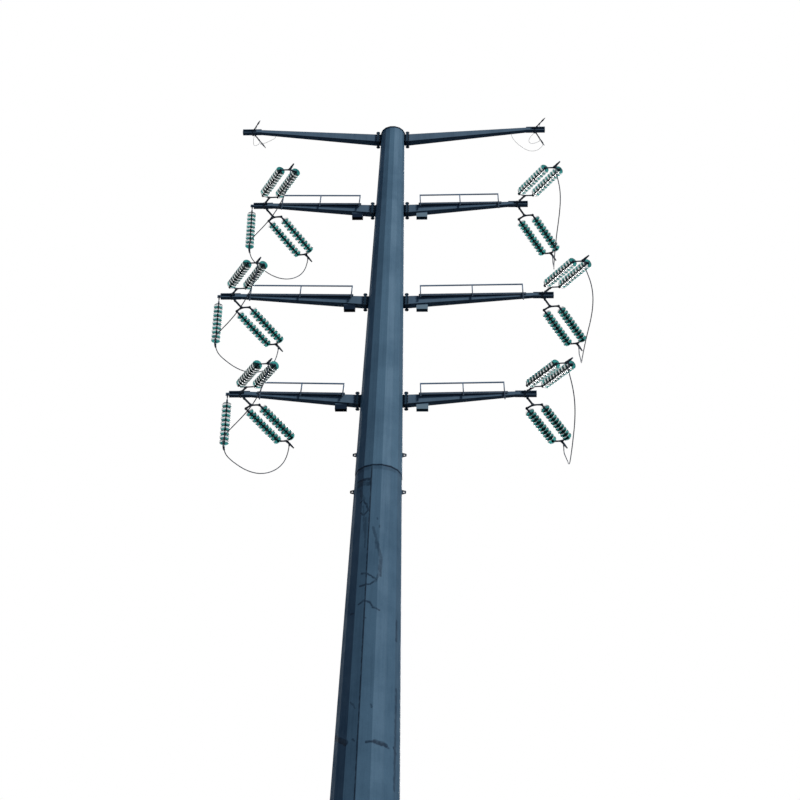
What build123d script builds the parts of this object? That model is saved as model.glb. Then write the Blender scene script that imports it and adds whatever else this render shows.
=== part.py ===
from build123d import *
from math import atan, cos, degrees, pi, radians, sin, tan
import os

# Steel monopole with four levels of paired arms, standing on its base flange.
# Millimetres. Origin at the middle of the flange's underside, Z up, arms along X.

# Shaft, three tapered sixteen-sided tubes that slip over each other
pole_height = 35180
side_count = 16
shaft_top_across = 675
shaft_taper = 0.042
top_wall = 8
middle_wall = 10
bottom_wall = 12
middle_section_length = 12000
upper_joint_lap = 1800
lower_joint_lap = 2500
joint_clearance = 0.3

# Base flange with its gussets and open anchor holes
base_plate = 60
base_overhang = 210
base_inner_lip = 130
anchor_count = 16
anchor_hole = 72
anchor_edge = 85
gusset_height = 420
gusset_thickness = 25
gusset_edge = 40
gusset_setback = 20

# Cap plate on the shaft's top
cap_thickness = 16
cap_overhang = 45

# Jacking lugs beside the slip joints
lug_length = 110
lug_height = 130
lug_thickness = 25
lug_hole = 40
lug_above_joint = 270
lug_below_joint = 850

# Arm levels counted down from the pole's top: drop of the root's top edge, how far the tip
# rises above it, and reach from the axis
earth_arm_drop = 60
earth_arm_rise = 290
earth_arm_reach = 4520
phase_arm_rise = 140
upper_arm_drop = 2860
upper_arm_reach = 3950
middle_arm_drop = 3400
middle_arm_reach = 4585
lower_arm_drop = 3350
lower_arm_reach = 4040
upper_joint_drop = 2110
earth_root_top = pole_height - earth_arm_drop
earth_tip_top = earth_root_top + earth_arm_rise
upper_root_top = earth_root_top - upper_arm_drop
middle_root_top = upper_root_top - middle_arm_drop
lower_root_top = middle_root_top - lower_arm_drop
upper_joint_height = lower_root_top - upper_joint_drop
lower_joint_height = upper_joint_height - middle_section_length

# Tapered box arms and the flanges that bolt them to the shaft
root_depth = 280
root_width = 200
tip_depth = 95
tip_width = 110
arm_wall = 8
flange_plate = 30
flange_side_margin = 50
flange_end_margin = 60
seat_standoff = 60
seat_wall = 12
rib_thickness = 12
rib_length = 130
rib_overlap = 20

# Fork of two plates at the arm's tip, with a pin for each string
fork_length = 560
fork_lap = 140
fork_width = 130
fork_plate = 16
web_plate = 12
pin_inset = 307
pin_offset = 38
pin_diameter = 28
jumper_lug_reach = 90
jumper_lug_height = 95
jumper_lug_thickness = 14
jumper_hang_reach = 40
jumper_lean = 2.0

# Rigging bracket under the phase arms
bracket_start = 240
bracket_length = 310
bracket_drop = 150
bracket_width = 130
bracket_wall = 10

# Walkway with a grab rail on top of the phase arms, narrower towards the tip
walk_start = 300
walk_end_gap = 750
walk_root_width = 330
walk_tip_width = 156
walk_sheet = 6
walk_lip = 60
post_size = 30
post_start = 50
post_end = 90
rail_height = 295
post_leg = 130
end_post_leg = 260

# Directions of the tension strings, turned from the Y axis towards +X, and below level,
# and how far each pair's yokes roll about the string's own line
front_azimuth = 26.6
back_azimuth = 28.4
front_droop = 12.5
back_droop = 4.0
front_roll = 14.0
back_roll = 4.6

# Cap and pin insulator strings
disc_pitch = 146
disc_radius = 140
disc_neck_radius = 62
disc_height = 50
disc_sides = 8
cap_radius = 44
cap_sides = 4
tension_discs = 10
jumper_discs = 9

# Fittings of the double tension strings
link_length = 455
link_width = 44
link_thickness = 20
yoke_spacing = 450
yoke_depth = 90
yoke_edge = 37
yoke_neck = 30
yoke_thickness = 18
clevis_length = 50
clevis_overlap = 30
clevis_width = 46
clamp_length = 300
clamp_size = 62
jumper_diameter = 27
tail_setback = 90
tail_drop = 90
tail_size = 46

# Fittings of the hanging jumper strings
hanger_length = 225
hanger_size = 36
hanger_slot_clearance = 2
saddle_drop = 145
saddle_length = 200
saddle_width = 60
saddle_height = 74
saddle_clearance = 0.3

# Earth wire clamps, and the tails and blocks that their bonding cords leave
earth_link = 430
earth_clamp_length = 220
earth_clamp_size = 46
earth_bar = 24
bond_drop = 40
bond_size = 22
loop_station = 340
lead_station_left = 400
lead_station_right = 540
terminal_inset = 1000
terminal_drop = 35
terminal_length = 60
terminal_width = 50

# Cords: straight runs joined by arcs that take this share of the shorter run
arc_share = 0.45
cord_sides = 6
bond_diameter = 10
front_lead_out = 120
back_lead_out = 200
bond_lead_out = 50
saddle_run = 400

# Corners of the jumpers between their ends, from the middle of the arm's tip at its top
left_front_corners = {
    "lower": [(1264, -1966, -952), (1160, -1855, -1255), (970, -1655, -1540), (710, -1390, -1710),
              (450, -1090, -1785), (220, -780, -1800), (65, -460, -1785)],
    "middle": [(1290, -1980, -950), (1200, -1858, -1265), (1020, -1665, -1560), (790, -1400, -1750),
               (540, -1110, -1850), (300, -810, -1865), (100, -485, -1815)],
    "upper": [(1290, -1980, -950), (1210, -1855, -1265), (1050, -1670, -1565), (825, -1410, -1765),
              (565, -1120, -1868), (315, -815, -1880), (105, -485, -1820)],
}
left_back_corners = [(75, 415, -1775), (220, 650, -1790), (410, 900, -1800), (610, 1140, -1760),
                     (820, 1390, -1640), (1025, 1620, -1440), (1205, 1820, -1170), (1330, 1960, -870)]
right_corners = {
    "lower": [(735, -1965, -950), (800, -1870, -1240), (845, -1690, -1510), (860, -1400, -1700),
              (860, -1030, -1805), (850, -640, -1845), (845, -240, -1845), (840, 150, -1810),
              (840, 530, -1735), (845, 890, -1610), (850, 1230, -1430), (855, 1530, -1210),
              (845, 1780, -940), (805, 1960, -660)],
    "middle": [(760, -1965, -945), (855, -1870, -1225), (905, -1690, -1490), (900, -1400, -1690),
               (860, -1030, -1805), (810, -640, -1850), (775, -240, -1850), (755, 150, -1815),
               (745, 530, -1740), (750, 890, -1615), (765, 1230, -1435), (785, 1530, -1215),
               (800, 1780, -945), (795, 1960, -660)],
    "upper": [(740, -1965, -950), (795, -1870, -1240), (810, -1690, -1510), (790, -1400, -1700),
              (760, -1030, -1810), (735, -640, -1850), (725, -240, -1850), (720, 150, -1815),
              (722, 530, -1740), (732, 890, -1615), (750, 1230, -1435), (772, 1530, -1215),
              (790, 1780, -945), (792, 1960, -660)],
}

# Corners of the bonding cords at the earth arms' tips, measured the same way
loop_corners = {
    "left": [(430, -285, -300), (400, -225, -390), (370, -140, -465), (350, -35, -515),
             (350, 70, -510), (370, 165, -450), (400, 240, -360), (437, 293, -275), (459, 322, -210)],
    "right": [(-212, -275, -290), (-300, -215, -360), (-395, -135, -415), (-470, -45, -455),
              (-490, 55, -480), (-440, 145, -470), (-355, 215, -410), (-270, 270, -325),
              (-195, 310, -240), (-155, 327, -198)],
}
lead_corners = {
    "left": [(965, 20, -300), (880, 55, -330), (785, 110, -330), (700, 170, -315), (620, 235, -285),
             (550, 300, -245), (508, 355, -200)],
    "right": [(-985, 15, -320), (-920, 50, -430), (-830, 90, -525), (-725, 135, -600), (-610, 190, -655),
              (-485, 250, -670), (-370, 315, -625), (-275, 380, -540), (-190, 440, -440), (-120, 480, -325),
              (-75, 500, -240)],
}

os.makedirs("parts", exist_ok=True)


def save(part, name):
    """Label one finished piece and write it."""
    part.label = name
    export_step(part, f"parts/{name}.step")


def top_across(height):
    """Width over the flats of the top section at a height."""
    return shaft_top_across + shaft_taper * (pole_height - height)


def middle_across(height):
    """Width over the flats of the middle section, one wall inside the top one."""
    return top_across(height) - 2 * (top_wall + joint_clearance)


def bottom_across(height):
    """Width over the flats of the bottom section, one wall inside the middle one."""
    return middle_across(height) - 2 * (middle_wall + joint_clearance)


def tapered_tube(across, low, high, inset, mode=Mode.ADD):
    """Raise the sixteen-sided taper from one height to another, inside the flats by an inset."""
    with BuildSketch(Plane.XY.offset(low)) as outline:
        RegularPolygon(across(low) / 2 - inset, side_count, major_radius=False,
                       rotation=180 / side_count)
    extrude(outline.sketch, amount=high - low, taper=degrees(atan(shaft_taper / 2)), mode=mode)


def shaft_section(name, across, low, high, wall):
    """One section of the shaft, a tube with the same taper inside and out."""
    with BuildPart() as section:
        tapered_tube(across, low, high, 0)
        tapered_tube(across, low, high, wall, Mode.SUBTRACT)
    save(section.part, name)


shaft_section("shaft_top", top_across, upper_joint_height, pole_height, top_wall)
shaft_section("shaft_middle", middle_across, lower_joint_height,
              upper_joint_height + upper_joint_lap, middle_wall)
shaft_section("shaft_bottom", bottom_across, base_plate,
              lower_joint_height + lower_joint_lap, bottom_wall)

# Base flange: a ring with a gusset on each flat and a hole at each corner
base_radius = bottom_across(base_plate) / 2 + base_overhang
anchor_circle = 2 * (base_radius - anchor_edge)
gusset_foot = bottom_across(base_plate) / 2
gusset_head = bottom_across(base_plate + gusset_height) / 2
with BuildPart() as gusset:
    with BuildSketch(Plane.XZ):
        with BuildLine():
            Polyline((gusset_foot, base_plate),
                     (base_radius - gusset_setback, base_plate),
                     (base_radius - gusset_setback, base_plate + gusset_edge),
                     (gusset_head + gusset_edge, base_plate + gusset_height),
                     (gusset_head, base_plate + gusset_height),
                     close=True)
        make_face()
    extrude(amount=gusset_thickness / 2, both=True)
with BuildPart() as base_flange:
    with BuildSketch():
        Circle(base_radius)
        Circle(bottom_across(base_plate) / 2 - base_inner_lip, mode=Mode.SUBTRACT)
        with PolarLocations(anchor_circle / 2, anchor_count, start_angle=180 / anchor_count):
            Circle(anchor_hole / 2, mode=Mode.SUBTRACT)
    extrude(amount=base_plate)
    with PolarLocations(0, side_count):
        add(gusset.part)
save(base_flange.part, "base_flange")
print("anchor circle", round(anchor_circle, 3))

# Cap plate with the shaft's own sixteen sides
with BuildPart() as cap_plate:
    with BuildSketch(Plane.XY.offset(pole_height)):
        RegularPolygon(shaft_top_across / 2 + cap_overhang, side_count, major_radius=False,
                       rotation=180 / side_count)
    extrude(amount=cap_thickness)
save(cap_plate.part, "cap_plate")


def lug_pair(across, height):
    """A plate with a hole on each side flat, its inner edge on the tapered face."""
    low = height - lug_height / 2
    high = height + lug_height / 2
    outer = across(height) / 2 + lug_length
    with BuildSketch(Plane.XZ) as outline:
        with BuildLine():
            Polyline((across(low) / 2, low), (outer, low + lug_height / 4),
                     (outer, high - lug_height / 4), (across(high) / 2, high), close=True)
        make_face()
        with Locations((outer - lug_length / 2, height)):
            Circle(lug_hole / 2, mode=Mode.SUBTRACT)
    extrude(outline.sketch, amount=lug_thickness / 2, both=True)


with BuildPart() as jacking_lugs:
    lug_pair(top_across, upper_joint_height + lug_above_joint)
    lug_pair(middle_across, upper_joint_height - lug_below_joint)
    lug_pair(middle_across, lower_joint_height + lug_above_joint)
    lug_pair(bottom_across, lower_joint_height - lug_below_joint)
    mirror(about=Plane.YZ)
save(jacking_lugs.part, "jacking_lugs")


def seat_back(root_top):
    """Distance from the axis to the back of the bolted flanges of one level."""
    return top_across(root_top - root_depth - flange_end_margin) / 2 + seat_standoff


def arm_start(root_top):
    """Distance from the axis to the root of the arm's box."""
    return seat_back(root_top) + 2 * flange_plate


def arm_end(reach):
    """Distance from the axis to the end of the arm's box, inside the tip's fork."""
    return reach - fork_length + fork_lap


def plate_on_x(start, thickness, width, low, high):
    """A plate square to the arm, from a start along X, between two heights."""
    with BuildSketch(Plane.YZ.offset(start)) as outline:
        with Locations((0, (low + high) / 2)):
            Rectangle(width, high - low)
    extrude(outline.sketch, amount=thickness)


def plate_on_z(low, thickness, width, start, end):
    """A flat plate along the arm, from one X to another, standing on a height."""
    with BuildSketch(Plane.XY.offset(low)) as outline:
        with Locations(((start + end) / 2, 0)):
            Rectangle(end - start, width)
    extrude(outline.sketch, amount=thickness)


def arm_seats(level, root_top):
    """Both stub brackets of one level, cut to the shaft's flats."""
    back = seat_back(root_top)
    low = root_top - root_depth
    with BuildPart() as shaft_body:
        tapered_tube(top_across, upper_joint_height, pole_height, 0)
    with BuildPart() as seats:
        plate_on_x(0, back, root_width, low, root_top)
        plate_on_x(0, back, rib_thickness, low - flange_end_margin, root_top + flange_end_margin)
        with BuildSketch(Plane.YZ):
            with Locations((0, (low + root_top) / 2)):
                Rectangle(root_width - 2 * seat_wall, root_depth - 2 * seat_wall)
        extrude(amount=back, mode=Mode.SUBTRACT)
        plate_on_x(back, flange_plate, root_width + 2 * flange_side_margin,
                   low - flange_end_margin, root_top + flange_end_margin)
        add(shaft_body.part, mode=Mode.SUBTRACT)
        mirror(about=Plane.YZ)
    save(seats.part, f"{level}_arm_seats")


def arm_box(root_top, arm_top, reach, inset):
    """The arm's tapered box, its side view cut by its plan, inside it by an inset."""
    start = arm_start(root_top)
    end = arm_end(reach)
    with BuildPart() as box:
        with BuildSketch(Plane.XZ):
            with BuildLine():
                Polyline((start, root_top - inset), (start, root_top - root_depth + inset),
                         (end, arm_top - tip_depth + inset), (end, arm_top - inset), close=True)
            make_face()
        extrude(amount=root_width, both=True)
        with BuildSketch(Plane.XY.offset(root_top - root_depth)):
            with BuildLine():
                Polyline((start, inset - root_width / 2), (start, root_width / 2 - inset),
                         (end, tip_width / 2 - inset), (end, inset - tip_width / 2), close=True)
            make_face()
        extrude(amount=arm_top - root_top + root_depth, mode=Mode.INTERSECT)
    return box.part


def terminal_place(root_top, arm_top, reach):
    """Underside height and distance from the axis of the bonding block below an earth arm."""
    along = reach - terminal_inset
    share = (arm_end(reach) - along) / (arm_end(reach) - arm_start(root_top))
    tip_low = arm_top - tip_depth
    return tip_low + (root_top - root_depth - tip_low) * share - terminal_drop, along


def arm(level, side, root_top, arm_top, reach, has_bracket, has_jumper_lug):
    """One tapered box arm with its root flange, ribs, tip fork and brackets."""
    start = arm_start(root_top)
    end = arm_end(reach)
    low = root_top - root_depth
    fork_low = arm_top - tip_depth
    outside = arm_box(root_top, arm_top, reach, 0)
    inside = arm_box(root_top, arm_top, reach, arm_wall)
    with BuildPart() as body:
        if has_bracket:
            bracket_middle = start + bracket_start + bracket_length / 2
            with BuildSketch(Plane.XY.offset(low - bracket_drop)):
                with Locations((bracket_middle, 0)):
                    Rectangle(bracket_length, bracket_width)
                    Rectangle(bracket_length - 2 * bracket_wall, bracket_width - 2 * bracket_wall,
                              mode=Mode.SUBTRACT)
            extrude(amount=bracket_drop + root_depth / 2)
        else:
            block_low, block_along = terminal_place(root_top, arm_top, reach)
            plate_on_z(block_low, terminal_drop + arm_wall, terminal_width,
                       block_along - terminal_length / 2, block_along + terminal_length / 2)
        add(outside)
        add(inside, mode=Mode.SUBTRACT)
        plate_on_x(start - flange_plate, flange_plate, root_width + 2 * flange_side_margin,
                   low - flange_end_margin, root_top + flange_end_margin)
        for edge, way in ((root_top - rib_overlap, 1), (low + rib_overlap, -1)):
            with BuildSketch(Plane.XZ):
                with BuildLine():
                    Polyline((start, edge), (start, edge + way * (rib_overlap + flange_end_margin)),
                             (start + rib_length, edge), close=True)
                make_face()
            extrude(amount=rib_thickness / 2, both=True)
        for plate_low in (arm_top, fork_low - fork_plate):
            plate_on_z(plate_low, fork_plate, fork_width, reach - fork_length, reach)
        plate_on_x(end, web_plate, fork_width, fork_low, arm_top)
        plate_on_x(reach - web_plate, web_plate, fork_width, fork_low, arm_top)
        plate_on_z(fork_low, tip_depth, web_plate, end, reach)
        if has_jumper_lug:
            lug_low = arm_top - tip_depth / 2 - jumper_lug_height / 2
            plate_on_z(lug_low, jumper_lug_height, jumper_lug_thickness, reach,
                       reach + jumper_lug_reach)
        if side == "left":
            mirror(about=Plane.YZ, mode=Mode.REPLACE)
    save(body.part, f"{level}_arm_{side}")


def walkways(level, root_top, arm_top, reach):
    """Both walkways of one level, each a lipped sheet with a grab rail on its near edge."""
    start = arm_start(root_top)
    run = arm_end(reach) - start
    rise = arm_top - root_top
    end = reach - walk_end_gap - start
    deck = Plane(origin=(start, 0, root_top), x_dir=(run, 0, rise), z_dir=(-rise, 0, run))

    def half_width(along):
        share = (along - walk_start) / (end - walk_start)
        return (walk_root_width + (walk_tip_width - walk_root_width) * share) / 2

    def strip(plane, height, first, last, outer, inner, way):
        """A strip along one edge, between two distances out from the edge, raised from a plane."""
        with BuildSketch(plane) as outline:
            with BuildLine():
                Polyline((first, way * (half_width(first) + outer)),
                         (last, way * (half_width(last) + outer)),
                         (last, way * (half_width(last) + inner)),
                         (first, way * (half_width(first) + inner)), close=True)
            make_face()
        extrude(outline.sketch, amount=height)

    posts = ((walk_start + post_start, post_leg), ((walk_start + end) / 2, post_leg),
             (end - post_end, end_post_leg))
    with BuildPart() as walks:
        with BuildSketch(deck):
            with BuildLine():
                Polyline((walk_start, -half_width(walk_start)), (end, -half_width(end)),
                         (end, half_width(end)), (walk_start, half_width(walk_start)), close=True)
            make_face()
        extrude(amount=walk_sheet)
        for way in (-1, 1):
            strip(deck.offset(-walk_lip), walk_lip + walk_sheet, walk_start, end, 0, -walk_sheet, way)
        for along, leg in posts:
            strip(deck.offset(-leg), leg + rail_height, along - post_size / 2, along + post_size / 2,
                  post_size, -walk_sheet / 2, -1)
        strip(deck.offset(rail_height - post_size), post_size, posts[0][0], posts[2][0],
              post_size, 0, -1)
        mirror(about=Plane.YZ)
    save(walks.part, f"{level}_walkways")


def string_frame(arm_top, reach, side, way):
    """Plane at a fork pin with X along the string, way -1 to the front and 1 to the back."""
    azimuth = radians(front_azimuth if way < 0 else back_azimuth)
    droop = radians(front_droop if way < 0 else back_droop)
    level_x = sin(azimuth)
    level_y = way * cos(azimuth)
    pin_x = (reach - pin_inset) * (-1 if side == "left" else 1)
    return Plane(origin=(pin_x, way * pin_offset, arm_top - tip_depth / 2),
                 x_dir=(level_x * cos(droop), level_y * cos(droop), -sin(droop)),
                 z_dir=(level_x * sin(droop), level_y * sin(droop), cos(droop)))


def rolled_frame(frame, way):
    """The string's place turned about its own line, as its yokes hang."""
    return frame.location * Rotation(front_roll if way < 0 else back_roll, 0, 0)


def hanging_frame(arm_top, reach):
    """Plane at a left arm's tip lug with X down the jumper string, which leans to the shaft."""
    lean = radians(jumper_lean)
    return Plane(origin=(-reach - jumper_hang_reach, 0, arm_top - tip_depth / 2),
                 x_dir=(sin(lean), 0, -cos(lean)), z_dir=(-cos(lean), 0, -sin(lean)))


def box_along(start, end, width, height, across=0):
    """A straight bar along local X between two stations."""
    with BuildSketch(Plane.YZ.offset(start)) as outline:
        with Locations((across, 0)):
            Rectangle(width, height)
    extrude(outline.sketch, amount=end - start)


# One disc with its rim on the ground plane and its cap above it
disc_slope = degrees(atan((disc_radius - disc_neck_radius) * cos(pi / disc_sides) / disc_height))
with BuildPart() as disc:
    with BuildSketch():
        RegularPolygon(disc_radius, disc_sides, rotation=180 / disc_sides)
    extrude(amount=disc_height, taper=disc_slope)
with BuildPart() as disc_cap:
    with BuildSketch(Plane.XY.offset(disc_height)):
        RegularPolygon(cap_radius, cap_sides, rotation=180 / cap_sides)
    extrude(amount=disc_pitch - disc_height)


def rims(first_cap, count, across_places):
    """The discs' places along the strings that start at a station, caps towards the start."""
    return [Location((first_cap + (number + 1) * disc_pitch, across, 0), (0, -90, 0))
            for number in range(count) for across in across_places]


# Stations along a tension string, from the fork pin outwards
inner_yoke = link_length + yoke_depth
first_cap = inner_yoke + clevis_length
last_rim = first_cap + tension_discs * disc_pitch
outer_yoke = last_rim + clevis_length
clamp_start = outer_yoke + yoke_depth + yoke_neck
string_sides = (-yoke_spacing / 2, yoke_spacing / 2)
tension_rims = rims(first_cap, tension_discs, string_sides)
# Stations down a jumper string, from its hanging point
jumper_rims = rims(hanger_length, jumper_discs, (0,))
hanger_end = hanger_length + jumper_discs * disc_pitch
saddle_middle = hanger_end + saddle_drop + saddle_height / 2


def yoke(base, way):
    """A flat yoke plate with its strings on a base line and its neck at the other side."""
    corner = yoke_spacing / 2 + yoke_edge
    neck = base + way * (yoke_depth + yoke_neck)
    with BuildSketch() as outline:
        with BuildLine():
            Polyline((neck, -yoke_neck), (neck, yoke_neck),
                     (base + way * yoke_edge, corner), (base - way * yoke_edge, corner),
                     (base - way * yoke_edge, -corner), (base + way * yoke_edge, -corner),
                     close=True)
        make_face()
    extrude(outline.sketch, amount=yoke_thickness / 2, both=True)


with BuildPart() as tension_discs_pair:
    with Locations(*tension_rims):
        add(disc.part)
with BuildPart() as tension_caps_pair:
    with Locations(*tension_rims):
        add(disc_cap.part)
with BuildPart() as yokes_pair:
    yoke(inner_yoke, -1)
    yoke(outer_yoke, 1)
    for across in string_sides:
        box_along(inner_yoke - clevis_overlap, first_cap, clevis_width, clevis_width, across)
        box_along(last_rim, outer_yoke + clevis_overlap, clevis_width, clevis_width, across)
with BuildPart() as link_and_clamp:
    box_along(-pin_diameter / 2, link_length, link_width, link_thickness)
    box_along(outer_yoke + yoke_depth, clamp_start + clevis_length, clevis_width, clevis_width)
    box_along(clamp_start + clevis_length, clamp_start + clamp_length, clamp_size, clamp_size)
    with BuildSketch(Plane.XY.offset(-tail_drop)):
        with Locations((clamp_start + tail_setback, 0)):
            Rectangle(tail_size, tail_size)
    extrude(amount=tail_drop)

with BuildPart() as jumper_disc_string:
    with Locations(*jumper_rims):
        add(disc.part)
with BuildPart() as jumper_fittings:
    box_along(-hanger_size / 2, hanger_length, hanger_size, hanger_size)
    with BuildSketch(Plane.YZ.offset(-hanger_size / 2)):
        Rectangle(jumper_lug_thickness, 2 * hanger_size)
    extrude(amount=hanger_size / 2 + jumper_lug_height / 2 + hanger_slot_clearance,
            mode=Mode.SUBTRACT)
    with Locations(*jumper_rims):
        add(disc_cap.part)
    box_along(hanger_end, hanger_end + saddle_drop, hanger_size, hanger_size)
    box_along(hanger_end + saddle_drop, hanger_end + saddle_drop + saddle_height,
              saddle_length, saddle_width)
    with BuildSketch(Plane.XZ):
        with Locations((saddle_middle, 0)):
            Rectangle(jumper_diameter + 2 * saddle_clearance, jumper_diameter + 2 * saddle_clearance)
    extrude(amount=saddle_length, both=True, mode=Mode.SUBTRACT)


def fork_pins(arm_top, reach, side):
    """The upright pins that hold both strings' links in the arm's fork."""
    pin_x = (reach - pin_inset) * (-1 if side == "left" else 1)
    with BuildSketch(Plane.XY.offset(arm_top - tip_depth)) as outline:
        with Locations((pin_x, -pin_offset), (pin_x, pin_offset)):
            Circle(pin_diameter / 2)
    extrude(outline.sketch, amount=tip_depth)


def insulators(level, side, arm_top, reach):
    """The glass discs and the metal fittings of all strings at one arm's tip."""
    frames = [string_frame(arm_top, reach, side, way) for way in (-1, 1)]
    rolled = [rolled_frame(frame, way) for frame, way in zip(frames, (-1, 1))]
    with BuildPart() as glass:
        with Locations(*rolled):
            add(tension_discs_pair.part)
        if side == "left":
            with Locations(hanging_frame(arm_top, reach)):
                add(jumper_disc_string.part)
    save(glass.part, f"{level}_glass_{side}")
    with BuildPart() as fittings:
        fork_pins(arm_top, reach, side)
        with Locations(*frames):
            add(link_and_clamp.part)
        with Locations(*rolled):
            add(yokes_pair.part)
            add(tension_caps_pair.part)
        if side == "left":
            with Locations(hanging_frame(arm_top, reach)):
                add(jumper_fittings.part)
    save(fittings.part, f"{level}_fittings_{side}")


with BuildPart() as bond_tail:
    with BuildSketch(Plane.XY.offset(-bond_drop)):
        Rectangle(bond_size, bond_size)
    extrude(amount=bond_drop)
with BuildPart() as earth_clamp:
    box_along(-pin_diameter / 2, earth_link, earth_bar, earth_bar)
    box_along(earth_link, earth_link + earth_clamp_length, earth_clamp_size, earth_clamp_size)
    with Locations((loop_station, 0, 0)):
        add(bond_tail.part)
lead_stations = {"left": lead_station_left, "right": lead_station_right}
with BuildPart() as earth_clamps:
    for side, lead_station in lead_stations.items():
        fork_pins(earth_tip_top, earth_arm_reach, side)
        front, back = [string_frame(earth_tip_top, earth_arm_reach, side, way) for way in (-1, 1)]
        with Locations(front, back):
            add(earth_clamp.part)
        with Locations(back):
            with Locations((lead_station, 0, 0)):
                add(bond_tail.part)
save(earth_clamps.part, "earth_clamps")


def outlet(frame, station, drop, lead_out):
    """The end face of a clamp's tail, and the corner where the cord's straight lead-out ends."""
    return [frame.from_local_coords(Vector(station, 0, -drop)),
            frame.from_local_coords(Vector(station, 0, -drop - lead_out))]


def cord(name, corners, diameter):
    """Sweep a cord along straight runs that tangent arcs join, and write it."""
    radii = []
    for before, corner, after in zip(corners, corners[1:], corners[2:]):
        shorter_run = min((corner - before).length, (after - corner).length)
        turn = (corner - before).get_angle(after - corner)
        radii.append(arc_share * shorter_run / tan(radians(turn / 2)))
    with BuildPart() as tube:
        with BuildLine() as route:
            FilletPolyline(*corners, radius=radii)
        with BuildSketch(Plane(origin=route.line @ 0, z_dir=route.line % 0)) as section:
            RegularPolygon(diameter / 2, cord_sides)
        sweep()
    length = route.wire().length
    save(tube.part, name)
    print(name, "length", round(length), "radii", [round(radius) for radius in radii],
          "volume share", round(tube.part.volume / (section.sketch.area * length), 4))


def jumper(level, side, arm_top, reach):
    """The jumper from the front strain clamp to the back one, through the saddle if one hangs."""
    tip = Vector(-reach if side == "left" else reach, 0, arm_top)
    station = clamp_start + tail_setback
    start = outlet(string_frame(arm_top, reach, side, -1), station, tail_drop, front_lead_out)
    end = outlet(string_frame(arm_top, reach, side, 1), station, tail_drop, back_lead_out)
    if side == "left":
        saddle = hanging_frame(arm_top, reach).from_local_coords(Vector(saddle_middle, 0, 0))
        half_run = Vector(0, saddle_run / 2, 0)
        middle = [tip + Vector(*corner) for corner in left_front_corners[level]]
        middle += [saddle - half_run, saddle + half_run]
        middle += [tip + Vector(*corner) for corner in left_back_corners]
    else:
        middle = [tip + Vector(*corner) for corner in right_corners[level]]
    cord(f"{level}_jumper_{side}", start + middle + end[::-1], jumper_diameter)


def earth_bonds(side, lead_station):
    """The loop between both earth clamps of one side and the lead from the arm to the back one."""
    way_out = -1 if side == "left" else 1
    tip = Vector(way_out * earth_arm_reach, 0, earth_tip_top)
    front, back = [string_frame(earth_tip_top, earth_arm_reach, side, way) for way in (-1, 1)]
    start = outlet(front, loop_station, bond_drop, bond_lead_out)
    end = outlet(back, loop_station, bond_drop, bond_lead_out)
    middle = [tip + Vector(*corner) for corner in loop_corners[side]]
    cord(f"earth_loop_{side}", start + middle + end[::-1], bond_diameter)
    block_low, block_along = terminal_place(earth_root_top, earth_tip_top, earth_arm_reach)
    start = [Vector(way_out * block_along, 0, block_low),
             Vector(way_out * block_along, 0, block_low - bond_lead_out)]
    end = outlet(back, lead_station, bond_drop, bond_lead_out)
    middle = [tip + Vector(*corner) for corner in lead_corners[side]]
    cord(f"earth_lead_{side}", start + middle + end[::-1], bond_diameter)


levels = (("lower", lower_root_top, phase_arm_rise, lower_arm_reach),
          ("middle", middle_root_top, phase_arm_rise, middle_arm_reach),
          ("upper", upper_root_top, phase_arm_rise, upper_arm_reach),
          ("earth", earth_root_top, earth_arm_rise, earth_arm_reach))
for level, root_top, rise, reach in levels:
    arm_top = root_top + rise
    carries_phase = level != "earth"
    arm_seats(level, root_top)
    for side in ("left", "right"):
        arm(level, side, root_top, arm_top, reach, carries_phase, carries_phase and side == "left")
        if carries_phase:
            insulators(level, side, arm_top, reach)
            jumper(level, side, arm_top, reach)
        else:
            earth_bonds(side, lead_stations[side])
    if carries_phase:
        walkways(level, root_top, arm_top, reach)
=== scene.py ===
from math import cos, pi, radians, sin

import bpy
import numpy as np
from mathutils import Matrix, Vector


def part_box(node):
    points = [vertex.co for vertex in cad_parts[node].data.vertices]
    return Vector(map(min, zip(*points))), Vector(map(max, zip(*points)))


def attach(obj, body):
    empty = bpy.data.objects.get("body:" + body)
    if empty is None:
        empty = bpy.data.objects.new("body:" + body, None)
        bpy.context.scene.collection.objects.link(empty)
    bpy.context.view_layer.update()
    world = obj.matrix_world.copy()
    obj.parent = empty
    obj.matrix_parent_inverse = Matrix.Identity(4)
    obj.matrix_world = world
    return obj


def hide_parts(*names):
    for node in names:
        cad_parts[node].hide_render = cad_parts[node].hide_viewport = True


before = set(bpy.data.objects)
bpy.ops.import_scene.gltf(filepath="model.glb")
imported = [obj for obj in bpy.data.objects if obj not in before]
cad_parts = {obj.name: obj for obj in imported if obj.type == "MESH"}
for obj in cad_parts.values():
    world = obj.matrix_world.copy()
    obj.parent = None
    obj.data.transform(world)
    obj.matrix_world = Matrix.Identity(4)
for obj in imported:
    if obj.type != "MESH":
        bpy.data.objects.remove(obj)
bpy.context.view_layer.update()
print("frame loaded with", len(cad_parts), "nodes")

# Levels, read from the right arms: the tops of their tips and how far they reach

phaseLevels = ("lower", "middle", "upper")
sideSign = {"left": -1, "right": 1}
forkPlate, flangePlate = 0.016, 0.03
armCorners = {level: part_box(level + "_arm_right")[1] for level in (*phaseLevels, "earth")}
levels = {level: {"top": corner.z - forkPlate, "reach": corner.x} for level, corner in armCorners.items()}


# Shapes: a shape is an array of points with a list of faces, all in metres

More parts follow.
